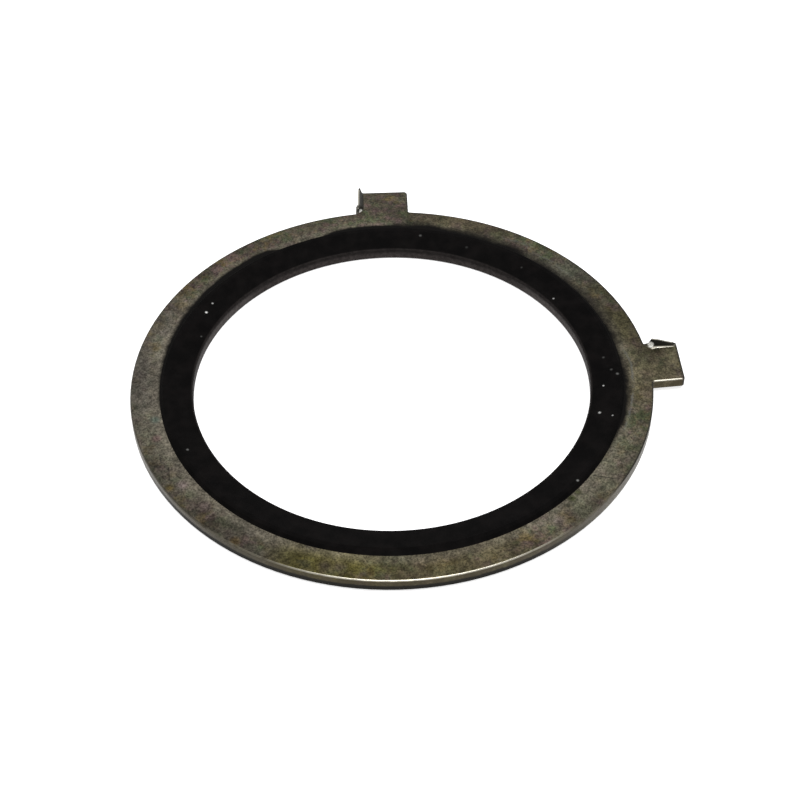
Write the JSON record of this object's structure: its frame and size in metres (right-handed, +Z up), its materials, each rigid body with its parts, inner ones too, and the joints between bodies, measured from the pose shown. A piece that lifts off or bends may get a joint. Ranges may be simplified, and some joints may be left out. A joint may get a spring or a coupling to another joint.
{
  "type": "bonded sealing washer",
  "caption": "Flat steel ring with a black rubber seal moulded round its bore, its lips proud of the faces, and square tabs at right angles on the rim, each with one side turned up.",
  "frame": {"origin": "on the bore's axis, in the plane of the lower rubber lip's flat land, which is what the washer rests on", "axes": "+Z up along the bore's axis, out of the side the fins stand on; +X from the bore's axis out along the middle of the tab whose fin falls towards its tip; +Y to its left, seen from above, 1.6 degrees past the middle of the other tab"},
  "size_m": [0.0673, 0.0678, 0.0031],
  "materials": {
    "steel": "dull rolled and plated sheet, blotched olive and grey, with bright broken edges",
    "rubber": "smooth satin black moulded rubber"
  },
  "bodies": {
    "root": {"steel_carrier": "steel", "rubber_seal": "rubber"}
  },
  "joints": []
}
